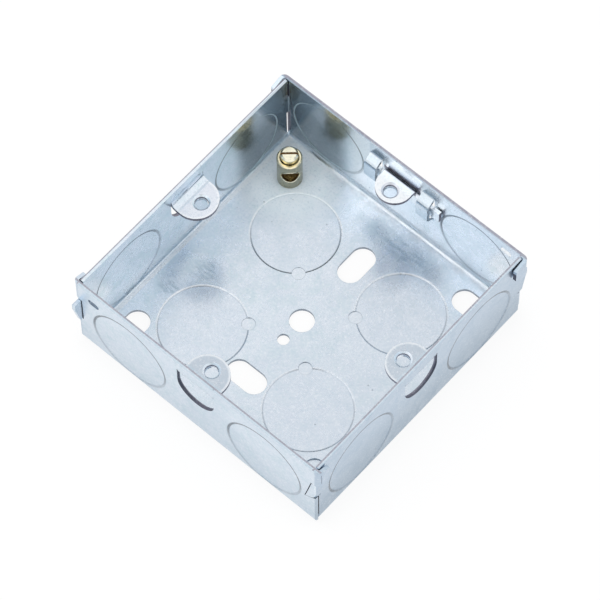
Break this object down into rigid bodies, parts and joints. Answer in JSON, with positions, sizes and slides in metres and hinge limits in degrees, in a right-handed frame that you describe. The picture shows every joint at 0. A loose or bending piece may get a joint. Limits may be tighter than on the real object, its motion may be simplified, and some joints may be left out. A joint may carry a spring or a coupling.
{
  "type": "flush back box",
  "caption": "Square folded-steel flush back box with knockouts, lanced screw lugs, one lug that slides sideways, and a brass earth terminal.",
  "frame": {"origin": "centre of the round middle hole, at the outer face of the base", "axes": "+Z out of the open front, +Y towards the wall with the sliding lug, +X along that lug's travel"},
  "size_m": [0.0732, 0.0744, 0.026],
  "materials": {
    "galvanised_sheet": "zinc coated, semi-bright, lightly smeared",
    "brass": "turned, bright"
  },
  "bodies": {
    "box": {"box_body": "galvanised_sheet", "earth_terminal_post": "brass"},
    "sliding lug": {"adjustable_lug": "galvanised_sheet"},
    "earth screw": {"earth_terminal_screw": "brass"}
  },
  "joints": [
    {"name": "sliding_lug_travel", "type": "slide", "parent": "box", "child": "sliding lug", "axis": [1, 0, 0], "range_m": [-0.0013, 0.0013]},
    {"name": "earth_screw_travel", "type": "slide", "parent": "box", "child": "earth screw", "axis": [0, 0, 1], "range_m": [-0.004, 0]}
  ]
}
